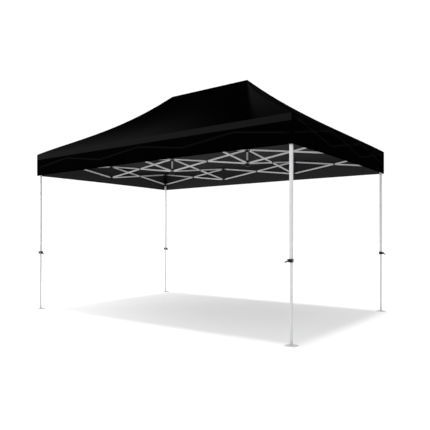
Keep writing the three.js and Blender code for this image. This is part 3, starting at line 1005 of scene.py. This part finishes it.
def make_lever_grip(corner, pivot, out):
    """The thick moulded grip round the lever's tail, which slopes down and away from the leg."""
    along = out * math.cos(GRIP_SLOPE) - UP * math.sin(GRIP_SLOPE)
    up = out * math.sin(GRIP_SLOPE) + UP * math.cos(GRIP_SLOPE)
    work = bmesh.new()
    slab(work, GRIP_UNDERSIDE + GRIP_TOP, -GRIP_HALF_WIDTH, GRIP_HALF_WIDTH, pivot, along, up)
    for reach in RIDGE_PLACES:
        place = pivot + along * reach + up * RIDGE_FOOT
        slab(work, RIDGE_OUTLINE, -RIDGE_HALF_WIDTH, RIDGE_HALF_WIDTH, place, along, up)
    lever = f"clamp_lever_{corner}"
    finish_mesh(f"lever_grip_{corner}", work, lever, "black_plastic", BLACK_PLASTIC, GRIP_EDGE)


def ring_solid(work, axis, outer, inner, low, high):
    """A square tube round an upright axis."""
    loops = []
    for half, z in ((outer, low), (outer, high), (inner, high), (inner, low)):
        outline = square_outline(half, RING_CORNER)
        loops.append([work.verts.new(axis + Vector((a, b, z))) for a, b in outline])
    for first, second in zip(loops, loops[1:] + loops[:1]):
        for step in range(len(first)):
            after = (step + 1) % len(first)
            work.faces.new((first[step], first[after], second[after], second[step]))


WELD_SIZE = 0.0042
WELD_SINK = 0.0004  # into the tube and the plate
WELD_STEPS = 16
WELD_RIPPLE = 0.12


def weld_bead(work, middle, along, out, half):
    """A fillet weld with its ripples, between a tube's face and the plate below it."""
    arc = [(math.cos(turn * math.pi / 8), math.sin(turn * math.pi / 8)) for turn in range(5)]
    rings = []
    for step in range(WELD_STEPS + 1):
        root = middle + along * half * (2 * step / WELD_STEPS - 1) - (out + UP) * WELD_SINK
        size = WELD_SIZE * (1 - WELD_RIPPLE + WELD_RIPPLE * math.cos(step * math.pi))
        ring = [work.verts.new(root)]
        ring += [work.verts.new(root + out * size * c + UP * size * s) for c, s in arc]
        rings.append(ring)
    for first, second in zip(rings, rings[1:]):
        for step in range(len(first)):
            after = (step + 1) % len(first)
            work.faces.new((first[step], first[after], second[after], second[step]))
    work.faces.new(rings[0][::-1])
    work.faces.new(rings[-1])


# ---- frame looks ------------------------------------------------------------------------------------------
def paint(node, material):
    piece = frame["nodes"][node]
    piece.data.materials.clear()
    piece.data.materials.append(material)
    return piece


def split_paint(node, first, second, is_second):
    """Two materials on one CAD node: the faces whose centre passes is_second get the second one."""
    piece = paint(node, first)
    piece.data.materials.append(second)
    for face in piece.data.polygons:
        face.material_index = 1 if is_second(piece.matrix_world @ face.center) else 0
    return piece


POLE_HUB_TOP = 0.024  # above the lower pins
POLE_CAP = 0.034  # below the peak
COLLAR_TOP = 0.0185  # above the clamp's middle
COLLAR_BOTTOM = 0.0175
COLLAR_STEP = 0.0005  # past the tube's faces
BAR_EDGE = 0.0022  # widths of the softened edges
FITTING_EDGE = 0.0012
LEG_EDGE = 0.0010


def is_pole_plastic(centre):
    """The lower centre hub and the cap that carries the cloth."""
    return centre.z < LOWER_PIN_Z + POLE_HUB_TOP or centre.z > PEAK_Z - POLE_CAP


def is_leg_plastic(centre):
    """The corner fitting at the top and the clamp's collar at the bottom, which are wider than the tube."""
    from_axis = max(abs(abs(centre.x) - LEG_X), abs(abs(centre.y) - LEG_Y))
    on_collar = centre.z < CLAMP_Z + COLLAR_TOP and from_axis > OUTER_HALF + COLLAR_STEP
    return centre.z > UPPER_PIN_Z - FITTING_BOTTOM or on_collar or centre.z < CLAMP_Z - COLLAR_BOTTOM


def dress_frame():
    for node in frame["nodes"]:
        if node.startswith("bar_"):
            soften(paint(node, TRUSS_PAINT), BAR_EDGE)
            make_bar_fittings(node)
        elif node.startswith(("hub_upper", "slider", "clamp_lever")):
            soften(paint(node, BLACK_PLASTIC), FITTING_EDGE)
        elif node.startswith("inner_leg"):
            soften(paint(node, LEG_PAINT), LEG_EDGE)
        elif node.startswith("peak_pole"):
            split_paint(node, LEG_PAINT, BLACK_PLASTIC, is_pole_plastic)
        elif node.startswith("outer_leg"):
            soften(split_paint(node, LEG_PAINT, BLACK_PLASTIC, is_leg_plastic), FITTING_EDGE)
    for end in ENDS:
        for side in SIDES:
            make_leg_fittings(f"{end}_{side}")
    for side in SIDES:
        make_pole_fittings(side)
    make_side_hubs()


# ---- floor, light, camera -------------------------------------------------------------------------------
CAMERA_PLACE = (4.5517, -6.0398, 1.138)
CAMERA_TURN = 0.6408
CAMERA_LENS = 40.80
CAMERA_SHIFT = (0.0115, 0.0498)
FLOOR_HALF = 80
FLOOR_Z = -0.0005
SKY_LOW = 1.06
SKY_HIGH = 0.72


def make_camera():
    camera = bpy.data.cameras.new("camera")
    camera.lens = CAMERA_LENS
    camera.sensor_width = 36.0
    camera.shift_x, camera.shift_y = CAMERA_SHIFT
    camera.clip_end = 200.0
    holder = bpy.data.objects.new("camera", camera)
    holder.location = CAMERA_PLACE
    holder.rotation_euler = (math.pi / 2, 0, CAMERA_TURN)
    bpy.context.scene.collection.objects.link(holder)
    bpy.context.scene.camera = holder


def make_floor():
    mesh = bpy.data.meshes.new("studio_floor")
    work = bmesh.new()
    bmesh.ops.create_grid(work, x_segments=1, y_segments=1, size=FLOOR_HALF)
    work.to_mesh(mesh)
    work.free()
    floor = bpy.data.objects.new("studio_floor", mesh)
    floor.location.z = FLOOR_Z
    bpy.context.scene.collection.objects.link(floor)
    material, _, shader = new_material("floor_paint")
    shader.inputs["Base Color"].default_value = (0.90, 0.90, 0.90, 1)
    shader.inputs["Roughness"].default_value = 0.95
    shader.inputs["Specular IOR Level"].default_value = 0.1
    mesh.materials.append(material)


def add_light(name, kind, power, direction, **settings):
    """direction: where the light comes from, as seen from the object."""
    light = bpy.data.lights.new(name, kind)
    light.energy = power
    for key, value in settings.items():
        setattr(light, key, value)
    holder = bpy.data.objects.new(name, light)
    holder.location = Vector(direction)
    holder.rotation_euler = (-Vector(direction)).to_track_quat("-Z", "Y").to_euler()
    bpy.context.scene.collection.objects.link(holder)


def make_light():
    """A white sky, a little darker overhead, with a soft sun above and a lamp at the front left."""
    world = bpy.data.worlds.new("studio")
    bpy.context.scene.world = world
    world.use_nodes = True
    tree = world.node_tree
    background = tree.nodes["Background"]
    background.inputs["Color"].default_value = (1, 1, 1, 1)
    direction = add_node(tree, "ShaderNodeSeparateXYZ")
    tree.links.new(add_node(tree, "ShaderNodeTexCoord").outputs["Generated"], direction.inputs[0])
    strength = spread(tree, direction.outputs["Z"], SKY_LOW, SKY_HIGH, 0.45, 0.95)
    tree.links.new(strength, background.inputs["Strength"])
    add_light("overhead", "SUN", 1.5, (-0.32, -0.06, 8.0), angle=math.radians(10))
    add_light("key", "AREA", 720.0, (-7.5, -5.0, 2.6), shape="RECTANGLE", size=4.0, size_y=3.0)
    bpy.context.scene.view_settings.view_transform = "Standard"


make_camera()
make_floor()
make_light()
dress_frame()
canopy = make_canopy()
tapes = make_seams()
for piece in [canopy, *tapes]:
    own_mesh(piece)
